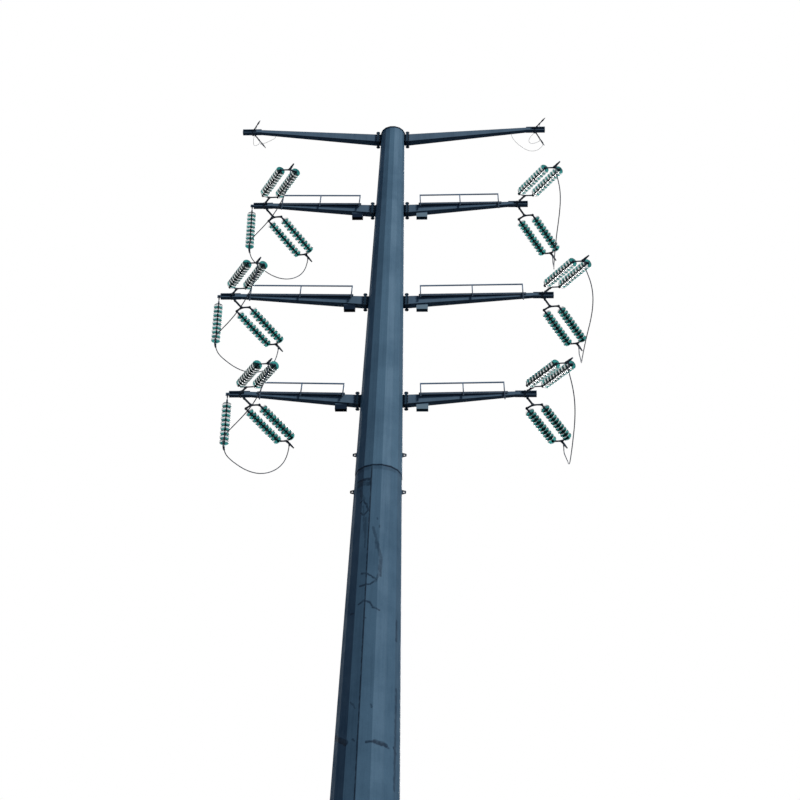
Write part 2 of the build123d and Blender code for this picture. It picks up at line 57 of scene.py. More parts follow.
def netFaces(rows, columns, wrapRows=False):
    # Quads of a net that is closed across: each point, its neighbour, and both of the next row
    row, column = np.meshgrid(np.arange(rows if wrapRows else rows - 1), np.arange(columns), indexing="ij")
    here, beside = row * columns + column, row * columns + (column + 1) % columns
    nextRow = (row + 1) % rows * columns
    return np.stack([here, beside, nextRow + (column + 1) % columns, nextRow + column], -1).reshape(-1, 4)


def shell(rings):
    # Closed body from rings of points: the rings joined by quads, the first and last filled flat
    rows, columns = rings.shape[:2]
    ends = [list(range(columns))[::-1], list(range((rows - 1) * columns, rows * columns))]
    return rings.reshape(-1, 3), netFaces(rows, columns).tolist() + ends


def torus(rings):
    # Closed body from rings of points of which the last joins the first
    rows, columns = rings.shape[:2]
    return rings.reshape(-1, 3), netFaces(rows, columns, wrapRows=True).tolist()


def turnedRings(profile, sides, firstStep=0.0):
    # Surface of turning about X: (station, radius) pairs swept through a full turn from firstStep sides on
    station, radius = np.array(profile, float).T[:, :, None]
    angle = (np.arange(sides) + firstStep)[None] * 2 * pi / sides
    return np.stack([station + 0 * angle, radius * np.cos(angle), radius * np.sin(angle)], -1)


def turned(profile, sides, start=0):
    # Closed body of turning, its stations counted from start
    return shell(turnedRings([(start + station, radius) for station, radius in profile], sides))


def insetOutline(outline, distance):
    # Each corner moves inwards along the bisector of its edges' normals, by distance from both edges
    edge = np.roll(outline, -1, 0) - outline
    edge /= np.linalg.norm(edge, axis=1)[:, None]
    normal = np.stack([-edge[:, 1], edge[:, 0]], -1)
    before = np.roll(normal, 1, 0)
    share = 1 + (normal * before).sum(1)[:, None]
    return outline + distance * (normal + before) / share


def plate(outline, low, high, chamfer=0.002):
    # Flat plate in XY: its outline raised from low to high, with both rims chamfered
    outline = np.array(outline, float)
    inner = insetOutline(outline, chamfer)
    rims = ((inner, low), (outline, low + chamfer), (outline, high - chamfer), (inner, high))
    return shell(np.stack([np.column_stack([flat, np.full(len(flat), z)]) for flat, z in rims]))


def bar(start, end, width, height, across):
    # Straight bar along X between two stations
    y = width / 2
    outline = [(start, across - y), (end, across - y), (end, across + y), (start, across + y)]
    return plate(outline, -height / 2, height / 2)


def strap(start, end, width, low, high, across=0):
    # Flat strap along X with round ends of seven points, centred on its two pin holes
    turn = np.linspace(-pi / 2, pi / 2, 7)
    far = np.column_stack([end + width / 2 * np.cos(turn), across + width / 2 * np.sin(turn)])
    near = np.column_stack([start - width / 2 * np.cos(turn), across - width / 2 * np.sin(turn)])
    return plate(np.vstack([far, near]), low, high)


def strapPair(start, end, width, half, thick, across=0):
    # A strap on either side of a pack of plates, by half the pack's thickness
    return [strap(start, end, width, low, low + thick, across) for low in (-half - thick, half)]


def regular(acrossFlats, sides, turn=0):
    # Regular outline by its width over flats
    angle = np.arange(sides) * 2 * pi / sides + turn
    return acrossFlats / 2 / cos(pi / sides) * np.column_stack([np.cos(angle), np.sin(angle)])


boltHead = {"washerWidth": 1.75, "washerSides": 12, "washerChamfer": 0.001, "chamfer": 0.06}


def hexHead(acrossFlats, height, washer):
    # Bolt head or nut that stands on z 0 over its round washer; widths and chamfer are shares of its flats
    disc = regular(acrossFlats * boltHead["washerWidth"], boltHead["washerSides"])
    head = plate(regular(acrossFlats, 6), washer, washer + height, acrossFlats * boltHead["chamfer"])
    return merged([plate(disc, 0, washer, boltHead["washerChamfer"]), head])


def placed(shape, axes=None, origin=(0, 0, 0)):
    # Local X, Y and Z run along the rows of axes, from the origin
    points = shape[0] if axes is None else shape[0] @ np.array(axes, float)
    return points + np.array(origin, float), shape[1]


def merged(shapes):
    # One shape from several, each list of faces counted on from the points before it
    points, faces, count = [], [], 0
    for shapePoints, shapeFaces in shapes:
        points.append(shapePoints)
        faces += [[count + corner for corner in face] for face in shapeFaces]
        count += len(shapePoints)
    return np.vstack(points), faces


def copies(shape, places):
    # The same shape at many (axes, origin) places
    return merged([placed(shape, axes, origin) for axes, origin in places])


def addObject(name, data):
    # Object of this data, in the scene
    thing = bpy.data.objects.new(name, data)
    bpy.context.scene.collection.objects.link(thing)
    return thing


smoothAngles = {"tube": 15, "cap": 30, "fitting": 35, "round": 50}


def makePiece(name, shape, material, kind, replaced=None):
    # Mesh object at the origin with its place in its mesh; edges sharper than its kind's angle stay sharp
    mesh = bpy.data.meshes.new(name)
    mesh.from_pydata(shape[0].tolist(), [], shape[1])
    mesh.shade_smooth()
    mesh.set_sharp_from_angle(angle=radians(smoothAngles[kind]))
    mesh.materials.append(material)
    piece = addObject(name, mesh)
    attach(piece, "root")
    if replaced:
        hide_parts(replaced)


# Nodes of materials

def setInputs(tree, node, inputs):
    # Inputs take numbers, colours or other nodes' sockets
    for key, value in inputs.items():
        if isinstance(value, bpy.types.NodeSocket):
            tree.links.new(value, node.inputs[key])
        else:
            node.inputs[key].default_value = value


def addNode(tree, kind, inputs=None, **settings):
    # One shader node, its own properties set before its inputs
    node = tree.nodes.new("ShaderNode" + kind)
    for key, value in settings.items():
        setattr(node, key, value)
    setInputs(tree, node, inputs or {})
    return node


def maths(tree, operation, *values):
    # Math node; more than two values are taken together two at a time
    if len(values) > 2:
        values = (maths(tree, operation, *values[:-1]), values[-1])
    return addNode(tree, "Math", dict(enumerate(values)), operation=operation).outputs[0]


def plus(tree, *values):
    return maths(tree, "ADD", *values)


def times(tree, *values):
    return maths(tree, "MULTIPLY", *values)


def vectorMaths(tree, operation, first, second):
    # Vector Math node; its dot product and distance are numbers
    inputs = {0: first, "Scale" if operation == "SCALE" else 1: second}
    outputs = addNode(tree, "VectorMath", inputs, operation=operation).outputs
    return outputs["Value" if operation in ("DOT_PRODUCT", "DISTANCE") else "Vector"]


def separated(tree, vector):
    return addNode(tree, "SeparateXYZ", {0: vector}).outputs


def ramp(tree, value, low, high, start=0.0, end=1.0):
    # Smooth step of a value from low to high
    inputs = {"Value": value, "From Min": low, "From Max": high, "To Min": start, "To Max": end}
    return addNode(tree, "MapRange", inputs, interpolation_type="SMOOTHSTEP").outputs["Result"]


def mixColor(tree, factor, first, second, blend="MIX"):
    return addNode(tree, "Mix", {0: factor, 6: first, 7: second},
                   data_type="RGBA", blend_type=blend).outputs[2]


def noise(tree, vector, scale, detail=3.0, roughness=0.5):
    inputs = {"Vector": vector, "Scale": scale, "Detail": detail, "Roughness": roughness}
    return addNode(tree, "TexNoise", inputs).outputs["Fac"]


def newGroup(name, inputs, outputs):
    # Node group with named sockets; gives the tree, its input sockets and its output node
    tree = bpy.data.node_groups.new(name, "ShaderNodeTree")
    for direction, sockets in (("INPUT", inputs), ("OUTPUT", outputs)):
        for socketName, kind in sockets.items():
            tree.interface.new_socket(name=socketName, in_out=direction, socket_type="NodeSocket" + kind)
    return tree, tree.nodes.new("NodeGroupInput").outputs, tree.nodes.new("NodeGroupOutput")


def newMaterial(name):
    # Material with its node tree, its shader and its object's own coordinates
    material = bpy.data.materials.new(name)
    material.use_nodes = True
    tree = material.node_tree
    shader = tree.nodes["Principled BSDF"]
    return material, tree, shader, addNode(tree, "TexCoord").outputs["Object"]


def useGroup(tree, group, **inputs):
    return addNode(tree, "Group", inputs, node_tree=group).outputs


def bump(tree, height, strength, distance):
    inputs = {"Height": height, "Strength": strength, "Distance": distance}
    return addNode(tree, "Bump", inputs).outputs["Normal"]


# Zinc on steel: cells of crystals, clouds of patina and runs down the surface

zincLook = {"cloudDetail": (5.0, 0.6), "cloudStep": (0.3, 0.75), "cloudShare": 0.55,
            "runScale": (22, 22, 0.5), "runDetail": (4.0, 0.62), "runStep": (0.42, 0.72),
            "crystalTint": 0.16, "crystalRise": 0.25, "roughness": (0.58, 0.80), "bumpDepth": 0.003}


def makeZincGroup(values):
    # Clouds and runs add up to the dull share of the colour, which the crystals then tint
    tree, given, result = newGroup(
        "zincPatina",
        {"Vector": "Vector", "Pale": "Color", "Dull": "Color", "Cell": "Float", "Cloud": "Float",
         "Runs": "Float"},
        {"Color": "Color", "Roughness": "Float", "Height": "Float"})
    cells = addNode(tree, "TexVoronoi", {"Vector": given["Vector"], "Scale": given["Cell"]})
    grey = addNode(tree, "RGBToBW", {"Color": cells.outputs["Color"]}).outputs[0]
    cloud = noise(tree, given["Vector"], given["Cloud"], *values["cloudDetail"])
    upright = addNode(tree, "Mapping", {"Vector": given["Vector"], "Scale": values["runScale"]})
    runs = noise(tree, upright.outputs["Vector"], 1.0, *values["runDetail"])
    dull = plus(tree, times(tree, ramp(tree, cloud, *values["cloudStep"]), values["cloudShare"]),
                times(tree, given["Runs"], ramp(tree, runs, *values["runStep"])))
    dull = maths(tree, "MINIMUM", dull, 1.0)
    base = mixColor(tree, dull, given["Pale"], given["Dull"])
    tint = times(tree, grey, values["crystalTint"])
    setInputs(tree, result, {
        "Color": mixColor(tree, tint, base, (1, 1, 1, 1), "SOFT_LIGHT"),
        "Roughness": ramp(tree, dull, 0, 1, *values["roughness"]),
        "Height": plus(tree, cloud, times(tree, grey, values["crystalRise"]))})
    return tree


zincPatina = makeZincGroup(zincLook)


def zincMaterial(name, values, marks=None):
    # Galvanised finish; marks(tree, place, color) may change the colour further, with stains and with painted
    # light and shade
    material, tree, shader, place = newMaterial(name)
    own = {key.title(): values[key] for key in ("pale", "dull", "cell", "cloud", "runs")}
    zinc = useGroup(tree, zincPatina, Vector=place, **own)
    setInputs(tree, shader, {
        "Base Color": marks(tree, place, zinc["Color"]) if marks else zinc["Color"],
        "Roughness": zinc["Roughness"], "Metallic": values["metallic"],
        "Specular IOR Level": values["specular"],
        "Normal": bump(tree, zinc["Height"], values["bump"], zincLook["bumpDepth"])})
    return material


shaftFinish = {"pale": (0.058, 0.114, 0.168, 1), "dull": (0.034, 0.072, 0.112, 1), "cell": 55, "cloud": 1.2,
               "runs": 0.25, "metallic": 0.0, "specular": 0.07, "bump": 0.2}
topFinish = {**shaftFinish, "pale": (0.070, 0.134, 0.192, 1), "dull": (0.042, 0.086, 0.130, 1)}
armFinish = {"pale": (0.078, 0.122, 0.165, 1), "dull": (0.050, 0.083, 0.118, 1), "cell": 70, "cloud": 1.8,
             "runs": 0.3, "metallic": 0.0, "specular": 0.03, "bump": 0.2}
# Painted shade: the arm seats sit in the shade under the arms and get this darker steel; the cap plate shares
# it
seatShadeFinish = {**armFinish, "pale": (0.024, 0.048, 0.072, 1), "dull": (0.012, 0.026, 0.042, 1)}
walkFinish = {"pale": (0.040, 0.060, 0.085, 1), "dull": (0.016, 0.028, 0.045, 1), "cell": 80, "cloud": 3.0,
              "runs": 0.2, "metallic": 0.05, "specular": 0.12, "bump": 0.2}
fittingFinish = {"pale": (0.030, 0.046, 0.066, 1), "dull": (0.010, 0.018, 0.030, 1), "cell": 120,
                 "cloud": 9.0, "runs": 0.2, "metallic": 0.10, "specular": 0.15, "bump": 0.3}
boltFinish = {**fittingFinish, "cell": 160, "cloud": 14.0}

# Shaft: sixteen sides, wider by the taper for each metre below its top, with a lip at both slip joints

shaft = {"top": 35.18, "across": 0.675, "taper": 0.042, "sides": 16, "lip": 22.985, "lowerLip": 11.4}


def halfAcross(z):
    # Half the width over flats at a height
    return (shaft["across"] + shaft["taper"] * (shaft["top"] - z)) / 2


# Dark marks on the shaft: strokes on its unrolled face, by distance around from the front and by height; also
# painted shade on the facets to the right

shaftMarksAndShade = {
    "markAndShadeInk": (0.005, 0.015, 0.032, 1), "ragged": 0.07, "raggedScale": 9.0, "raggedDetail": 4.0,
    "speckle": (0.30, 0.55, 0.55, 1.0),
    # Ends' angle from the front, towards the right arms, and height; then half the width and the strength
    "strokes": [
        (-53, 22.60, -16, 22.58, 0.045, 0.9), (-48, 22.50, -17, 22.44, 0.07, 0.65),
        (-15, 22.58, -14, 22.35, 0.025, 0.8), (-42, 22.30, -30, 22.00, 0.05, 0.4),
        (-40, 21.93, -31, 21.98, 0.022, 0.8), (-31, 21.98, -22, 21.84, 0.022, 0.8),
        (-22, 21.84, -17, 21.65, 0.024, 0.8), (-17, 21.65, -27, 21.53, 0.022, 0.8),
        (-27, 21.53, -35, 21.62, 0.02, 0.7), (-30, 21.80, -24, 21.10, 0.030, 0.4),
        (-22, 21.45, -20, 20.60, 0.026, 0.4), (-3, 21.15, 7, 20.72, 0.035, 0.45),
        (7, 20.72, 16, 20.31, 0.045, 0.55), (16, 20.31, 15, 19.92, 0.050, 0.6),
        (15, 19.92, 7, 19.64, 0.035, 0.5), (4, 20.95, 5, 20.55, 0.030, 0.35),
        (-24, 19.88, -8, 19.84, 0.026, 0.8), (-8, 19.84, 8, 19.68, 0.026, 0.8),
        (8, 19.68, -4, 19.56, 0.024, 0.8), (-4, 19.56, -26, 19.54, 0.026, 0.8),
        (-27, 19.04, -17, 19.12, 0.026, 0.8), (-17, 19.12, -3, 19.08, 0.03, 0.8),
        (-3, 19.08, 3, 18.94, 0.028, 0.8), (3, 18.94, 17, 18.88, 0.024, 0.7),
        (-45, 18.86, -38, 18.84, 0.03, 0.6), (-12, 18.66, -10, 18.66, 0.028, 0.6),
        (16, 20.14, 17, 19.80, 0.030, 0.65), (5, 21.42, 6, 21.38, 0.022, 0.5),
        (11, 21.2, 12, 21.16, 0.022, 0.5), (60, 18.75, 61, 18.25, 0.045, 0.7),
        (-74, 15.88, -36, 15.58, 0.070, 0.9), (-22, 15.64, -19, 15.60, 0.024, 0.7),
        (2, 15.56, 16, 15.58, 0.030, 0.8), (16, 15.58, 38, 15.54, 0.050, 0.9),
        (38, 15.54, 44, 15.50, 0.022, 0.6), (56, 15.56, 63, 15.46, 0.040, 0.8),
        (7, 16.46, 9, 16.40, 0.024, 0.6), (-30, 16.56, -21, 16.38, 0.020, 0.5),
        (62, 17.0, 63, 14.6, 0.05, 0.6), (100, 20.3, 112, 19.4, 0.05, 0.5), (150, 22.4, 165, 22.2, 0.07, 0.5),
        (-120, 17.2, -110, 17.0, 0.05, 0.5), (170, 15.6, 200, 15.5, 0.04, 0.5)],
    # Level marks all around, the shadow line and stain under both lips: height, half the width and strength
    "lips": [(22.985, 0.040, 0.95), (22.93, 0.10, 0.35), (11.375, 0.03, 0.8), (11.30, 0.12, 0.3)],
    "strokeEdge": (1.25, 0.6), "lipEdge": (1.0, 0.3),
    "seam": {"angle": -13.0, "half": 0.017, "strength": 0.95, "edge": (1.4, 0.5), "waver": 0.35,
             "top": (22.96, 22.94)},
    # Painted shade: the facets to the right are darker, in two steps of angle
    "facetShade": {"steps": ((30, 36), (54, 58)), "strength": 0.2}}


def makeStrokeGroup():
    # Distance from a place to the line that runs from start along step, over half the stroke's width
    inputs = {"Place": "Vector", "Start": "Vector", "Step": "Vector", "Width": "Float"}
    tree, given, result = newGroup("stroke", inputs, {"Mask": "Float"})
    fromStart = vectorMaths(tree, "SUBTRACT", given["Place"], given["Start"])
    along = vectorMaths(tree, "DOT_PRODUCT", fromStart, given["Step"])
    length = vectorMaths(tree, "DOT_PRODUCT", given["Step"], given["Step"])
    share = addNode(tree, "Clamp", {"Value": maths(tree, "DIVIDE", along, length)}).outputs[0]
    gap = vectorMaths(tree, "DISTANCE", fromStart, vectorMaths(tree, "SCALE", given["Step"], share))
    gapShare = maths(tree, "DIVIDE", gap, given["Width"])
    setInputs(tree, result, {"Mask": ramp(tree, gapShare, *shaftMarksAndShade["strokeEdge"])})
    return tree


strokeMask = makeStrokeGroup()


def marksAndShadeOnShaft(tree, place, color):
    # Angle about the pole times its radius gives the unrolled place; noise makes every edge ragged
    axes = separated(tree, place)
    angle = maths(tree, "ARCTAN2", axes["X"], times(tree, axes["Y"], -1.0))
    squares = plus(tree, times(tree, axes["X"], axes["X"]), times(tree, axes["Y"], axes["Y"]))
    radius = maths(tree, "POWER", squares, 0.5)
    rag = noise(tree, place, shaftMarksAndShade["raggedScale"], shaftMarksAndShade["raggedDetail"])
    shift = times(tree, maths(tree, "SUBTRACT", rag, 0.5), shaftMarksAndShade["ragged"])
    unrolled = addNode(tree, "CombineXYZ", {
        "X": plus(tree, times(tree, angle, radius), shift),
        "Y": plus(tree, axes["Z"], shift)}).outputs[0]
    masks = []
    for firstAngle, firstHeight, lastAngle, lastHeight, width, strength in shaftMarksAndShade["strokes"]:
        reach = halfAcross(firstHeight)
        start = (radians(firstAngle) * reach, firstHeight, 0)
        step = (radians(lastAngle - firstAngle) * reach, lastHeight - firstHeight, 0)
        mask = useGroup(tree, strokeMask, Place=unrolled, Start=start, Step=step, Width=width)["Mask"]
        masks.append(times(tree, mask, strength))
    for height, half, strength in shaftMarksAndShade["lips"]:
        gap = maths(tree, "ABSOLUTE", maths(tree, "SUBTRACT", axes["Z"], height))
        masks.append(ramp(tree, maths(tree, "DIVIDE", gap, half), *shaftMarksAndShade["lipEdge"], 0.0, strength))
    seam = shaftMarksAndShade["seam"]
    gap = times(tree, maths(tree, "SUBTRACT", angle, radians(seam["angle"])), radius)
    gap = maths(tree, "ABSOLUTE", plus(tree, gap, times(tree, shift, seam["waver"])))
    line = ramp(tree, maths(tree, "DIVIDE", gap, seam["half"]), *seam["edge"], 0.0, seam["strength"])
    masks.append(times(tree, line, ramp(tree, axes["Z"], *seam["top"])))
    # Painted shade: the facets to the right are darkened by angle, in the dark colour of the marks
    facetShade = shaftMarksAndShade["facetShade"]
    facetShadeAmount = plus(tree, *(ramp(tree, angle, radians(low), radians(high), 0.0, facetShade["strength"])
                         for low, high in facetShade["steps"]))
    color = mixColor(tree, facetShadeAmount, color, shaftMarksAndShade["markAndShadeInk"])
    dark = times(tree, maths(tree, "MAXIMUM", *masks), ramp(tree, rag, *shaftMarksAndShade["speckle"]))
    return mixColor(tree, dark, color, shaftMarksAndShade["markAndShadeInk"])


shaftSteel = zincMaterial("shaftSteel", shaftFinish, marksAndShadeOnShaft)
topSteel = zincMaterial("topSteel", topFinish, marksAndShadeOnShaft)
plainSteel = zincMaterial("plainSteel", shaftFinish)
seatShadeSteel = zincMaterial("seatShadeSteel", seatShadeFinish)
fittingSteel = zincMaterial("fittingSteel", fittingFinish)
boltSteel = zincMaterial("boltSteel", boltFinish)


# Toughened glass: green right through, its colour and its dull dust in clouds

glassFinish = {"deep": (0.004, 0.040, 0.040, 1), "clear": (0.012, 0.082, 0.078, 1), "cloud": 6.0,
               "cloudStep": (0.35, 0.7), "roughness": (0.10, 0.24), "transmission": 0.7, "ior": 1.22,
               "specular": 0.12}


def glassMaterial(name, values):
    material, tree, shader, place = newMaterial(name)
    cloud = ramp(tree, noise(tree, place, values["cloud"]), *values["cloudStep"])
    setInputs(tree, shader, {
        "Base Color": mixColor(tree, cloud, values["deep"], values["clear"]),
        "Roughness": ramp(tree, cloud, 0, 1, *values["roughness"]), "IOR": values["ior"],
        "Transmission Weight": values["transmission"], "Specular IOR Level": values["specular"]})
    return material


insulatorGlass = glassMaterial("insulatorGlass", glassFinish)


# Stranded aluminium gone dark, its strands a twisted bump along the cord's own UV

conductorFinish = {"bright": (0.045, 0.060, 0.085, 1), "dark": (0.015, 0.024, 0.040, 1), "cloud": 14.0,
                   "cloudDetail": 4.0, "cloudStep": (0.3, 0.7), "metallic": 0.1, "roughness": 0.55,
                   "specular": 0.15, "strands": 18, "turns": 22, "bump": 0.5, "bumpDepth": 0.002}


def conductorMaterial(name, values):
    material, tree, shader, place = newMaterial(name)
    cloud = ramp(tree, noise(tree, place, values["cloud"], values["cloudDetail"]), *values["cloudStep"])
    axes = separated(tree, addNode(tree, "TexCoord").outputs["UV"])
    around = plus(tree, axes["Y"], times(tree, axes["X"], values["turns"]))
    wave = maths(tree, "ABSOLUTE", maths(tree, "SINE", times(tree, around, pi * values["strands"])))
    setInputs(tree, shader, {
        "Base Color": mixColor(tree, cloud, values["bright"], values["dark"]), "Metallic": values["metallic"],
        "Roughness": values["roughness"], "Specular IOR Level": values["specular"],
        "Normal": bump(tree, wave, values["bump"], values["bumpDepth"])})
    return material


conductor = conductorMaterial("conductor", conductorFinish)

# Walkways: the thin rails are pale tube and the sheets below them are dark

rails = {"pale": (0.085, 0.140, 0.210, 1), "slope": 0.04, "above": 0.09, "fade": 0.02,
         "deck": {"lower": 25.488, "middle": 28.817, "upper": 32.242}}


def walkwayMaterial(level):
    # Height over the deck, which rises outwards along both arms
    def paleRails(tree, place, color):
        axes = separated(tree, place)
        rise = times(tree, maths(tree, "ABSOLUTE", axes["X"]), rails["slope"])
        height = maths(tree, "SUBTRACT", axes["Z"], plus(tree, rise, rails["deck"][level]))
        return mixColor(tree, ramp(tree, height, rails["above"], rails["above"] + rails["fade"]), color,
                        rails["pale"])
    return zincMaterial(level + "WalkwaySteel", walkFinish, paleRails)


# Arms: root flanges painted dark as shade; the rigging bracket under each phase arm is painted in shade on
# the left and lit on the right

# Painted light and shade: left is the bracket's painted shade, right its painted light, and flange the
# painted shade at the arm's root
bracketsLitAndShaded = {"left": (0.008, 0.017, 0.033, 1), "right": (0.140, 0.200, 0.240, 1), "start": 0.24, "end": 0.55,
            "under": {"lower": 25.23, "middle": 28.58, "upper": 31.98}, "depth": 0.16, "skin": 0.004,
            "flange": (0.012, 0.030, 0.050, 1)}


def armMaterial(level, side):
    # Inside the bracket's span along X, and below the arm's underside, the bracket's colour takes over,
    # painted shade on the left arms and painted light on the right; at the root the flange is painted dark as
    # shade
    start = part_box(level + "_arm_seats")[1].x + flangePlate

    def rootLightAndShade(tree, place, color):
        axes = separated(tree, place)
        along, skin = maths(tree, "ABSOLUTE", axes["X"]), bracketsLitAndShaded["skin"]
        if level in phaseLevels:
            under = bracketsLitAndShaded["under"][level]
            inside = times(tree, maths(tree, "GREATER_THAN", along, start + bracketsLitAndShaded["start"] - skin),
                           maths(tree, "LESS_THAN", along, start + bracketsLitAndShaded["end"] + skin),
                           maths(tree, "LESS_THAN", axes["Z"], under - skin),
                           maths(tree, "GREATER_THAN", axes["Z"], under - bracketsLitAndShaded["depth"]))
            color = mixColor(tree, inside, color, bracketsLitAndShaded[side])
        return mixColor(tree, maths(tree, "LESS_THAN", along, start + skin), color, bracketsLitAndShaded["flange"])
    return zincMaterial(f"{level}Arm{side.title()}Steel", armFinish, rootLightAndShade)


finishes = {level + "_walkways": walkwayMaterial(level) for level in phaseLevels}
finishes |= {f"{level}_arm_{side}": armMaterial(level, side) for level in levels for side in sideSign}
finishes |= {"shaft": shaftSteel, "base_flange": plainSteel, "cap_plate": plainSteel,
             "jacking_lugs": fittingSteel, "arm_seats": seatShadeSteel, "glass": insulatorGlass,
             "fittings": fittingSteel, "clamps": fittingSteel,
             "jumper": conductor, "loop": conductor, "lead": conductor}
for nodeName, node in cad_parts.items():
    finish = next(finishes[word] for word in finishes if word in nodeName)
    node.data.materials.clear()
    node.data.materials.append(finish)
print("materials made")


# Camera at the photograph's viewing angle

camera = {"place": (2.41292, -32.71113, 1.6), "lens": 69.75, "sensor": 36.0, "farthest": 500.0,
          "pitch": 36.0, "pan": 0.825, "roll": 1.936}


def makeCamera(values):
    # It looks at the pole's axis, turned by the pan and lifted by the pitch, then rolls about its own sight
    place = Vector(values["place"])
    toAxis = Vector((-place.x, -place.y, 0)).normalized()
    pan, pitch, roll = radians(values["pan"]), radians(values["pitch"]), radians(values["roll"])
    ahead = toAxis * cos(pan) + Vector((toAxis.y, -toAxis.x, 0)) * sin(pan)
    right = Vector((ahead.y, -ahead.x, 0))
    sight = ahead * cos(pitch) + Vector((0, 0, sin(pitch)))
    upward = -ahead * sin(pitch) + Vector((0, 0, cos(pitch)))
    rightRolled = right * cos(roll) + upward * sin(roll)
    upRolled = -right * sin(roll) + upward * cos(roll)
    data = bpy.data.cameras.new("camera")
    data.lens, data.sensor_width, data.clip_end = values["lens"], values["sensor"], values["farthest"]
    viewer = addObject("camera", data)
    turn = Matrix((rightRolled, upRolled, -sight)).transposed().to_4x4()
    viewer.matrix_world = Matrix.Translation(place) @ turn
    bpy.context.scene.camera = viewer


makeCamera(camera)

# Strings: stations along them from the fork's pin; a way is -1 to the front and 1 to the back

strings = {"azimuth": {-1: 26.6, 1: 28.4}, "droop": {-1: 12.5, 1: 4.0}, "roll": {-1: 14.0, 1: 4.6},
           "pinInset": 0.307, "pinOffset": 0.038, "tipDepth": 0.095, "lean": 2.0, "hangReach": 0.04,
           "spacing": 0.45, "pitch": 0.146, "discs": 10, "jumperDiscs": 9,
           "innerYoke": 0.545, "firstCap": 0.595, "lastRim": 2.055, "outerYoke": 2.105, "clampStart": 2.225,
           "tail": 2.315, "tailDrop": 0.09, "hanger": 0.225, "saddle": 0.182}
acrossStrings = (-strings["spacing"] / 2, strings["spacing"] / 2)


def stringFrame(level, side, way):
    # Axes and origin at a fork pin: X out along the string, Z up
    azimuth, droop = radians(strings["azimuth"][way]), radians(strings["droop"][way])
    flat = Vector((sin(azimuth), way * cos(azimuth), 0))
    alongX = flat * cos(droop) - Vector((0, 0, sin(droop)))
    upZ = flat * sin(droop) + Vector((0, 0, cos(droop)))
    origin = Vector((sideSign[side] * (levels[level]["reach"] - strings["pinInset"]),
                     way * strings["pinOffset"], levels[level]["top"] - strings["tipDepth"] / 2))
    return np.array([alongX, upZ.cross(alongX), upZ]), np.array(origin)


def rolledFrame(level, side, way):
    # The string's frame turned about its own line, as its yokes, caps and glass hang
    axes, origin = stringFrame(level, side, way)
    roll = radians(strings["roll"][way])
    turn = np.array([(1, 0, 0), (0, cos(roll), sin(roll)), (0, -sin(roll), cos(roll))])
    return turn @ axes, origin


def hangingFrame(level):
    # Axes and origin at a left arm's tip lug: X down the jumper string, which leans to the shaft
    lean = radians(strings["lean"])
    down, out = Vector((sin(lean), 0, -cos(lean))), Vector((-cos(lean), 0, -sin(lean)))
    tip = levels[level]
    origin = (-tip["reach"] - strings["hangReach"], 0, tip["top"] - strings["tipDepth"] / 2)
    return np.array([down, out.cross(down), out]), np.array(origin)


def fromFrame(axesOrigin, x, y, z):
    return Vector(np.array([x, y, z]) @ axesOrigin[0] + axesOrigin[1])


# Cords: corners given from the middle of the arm's tip at its top, as in the part's source

jumpers = {
    "diameter": 0.027, "frontLead": 0.12, "backLead": 0.2, "saddleRun": 0.4,
    "leftFront": {
        "lower": [
            (1.264, -1.966, -0.952), (1.16, -1.855, -1.255), (0.97, -1.655, -1.54), (0.71, -1.39, -1.71),
            (0.45, -1.09, -1.785), (0.22, -0.78, -1.8), (0.065, -0.46, -1.785)],
        "middle": [
            (1.29, -1.98, -0.95), (1.2, -1.858, -1.265), (1.02, -1.665, -1.56), (0.79, -1.4, -1.75),
            (0.54, -1.11, -1.85), (0.3, -0.81, -1.865), (0.1, -0.485, -1.815)],
        "upper": [
            (1.29, -1.98, -0.95), (1.21, -1.855, -1.265), (1.05, -1.67, -1.565), (0.825, -1.41, -1.765),
            (0.565, -1.12, -1.868), (0.315, -0.815, -1.88), (0.105, -0.485, -1.82)]},
    "leftBack": [
        (0.075, 0.415, -1.775), (0.22, 0.65, -1.79), (0.41, 0.9, -1.8), (0.61, 1.14, -1.76),
        (0.82, 1.39, -1.64), (1.025, 1.62, -1.44), (1.205, 1.82, -1.17), (1.33, 1.96, -0.87)],
    "right": {
        "lower": [
            (0.735, -1.965, -0.95), (0.8, -1.87, -1.24), (0.845, -1.69, -1.51), (0.86, -1.4, -1.7),
            (0.86, -1.03, -1.805), (0.85, -0.64, -1.845), (0.845, -0.24, -1.845), (0.84, 0.15, -1.81),
            (0.84, 0.53, -1.735), (0.845, 0.89, -1.61), (0.85, 1.23, -1.43), (0.855, 1.53, -1.21),
            (0.845, 1.78, -0.94), (0.805, 1.96, -0.66)],
        "middle": [
            (0.76, -1.965, -0.945), (0.855, -1.87, -1.225), (0.905, -1.69, -1.49), (0.9, -1.4, -1.69),
            (0.86, -1.03, -1.805), (0.81, -0.64, -1.85), (0.775, -0.24, -1.85), (0.755, 0.15, -1.815),
            (0.745, 0.53, -1.74), (0.75, 0.89, -1.615), (0.765, 1.23, -1.435), (0.785, 1.53, -1.215),
            (0.8, 1.78, -0.945), (0.795, 1.96, -0.66)],
        "upper": [
            (0.74, -1.965, -0.95), (0.795, -1.87, -1.24), (0.81, -1.69, -1.51), (0.79, -1.4, -1.7),
            (0.76, -1.03, -1.81), (0.735, -0.64, -1.85), (0.725, -0.24, -1.85), (0.72, 0.15, -1.815),
            (0.722, 0.53, -1.74), (0.732, 0.89, -1.615), (0.75, 1.23, -1.435), (0.772, 1.53, -1.215),
            (0.79, 1.78, -0.945), (0.792, 1.96, -0.66)]},
    "lengths": {"lower": (6.425, 5.482), "middle": (6.470, 5.497), "upper": (6.488, 5.484)},
}
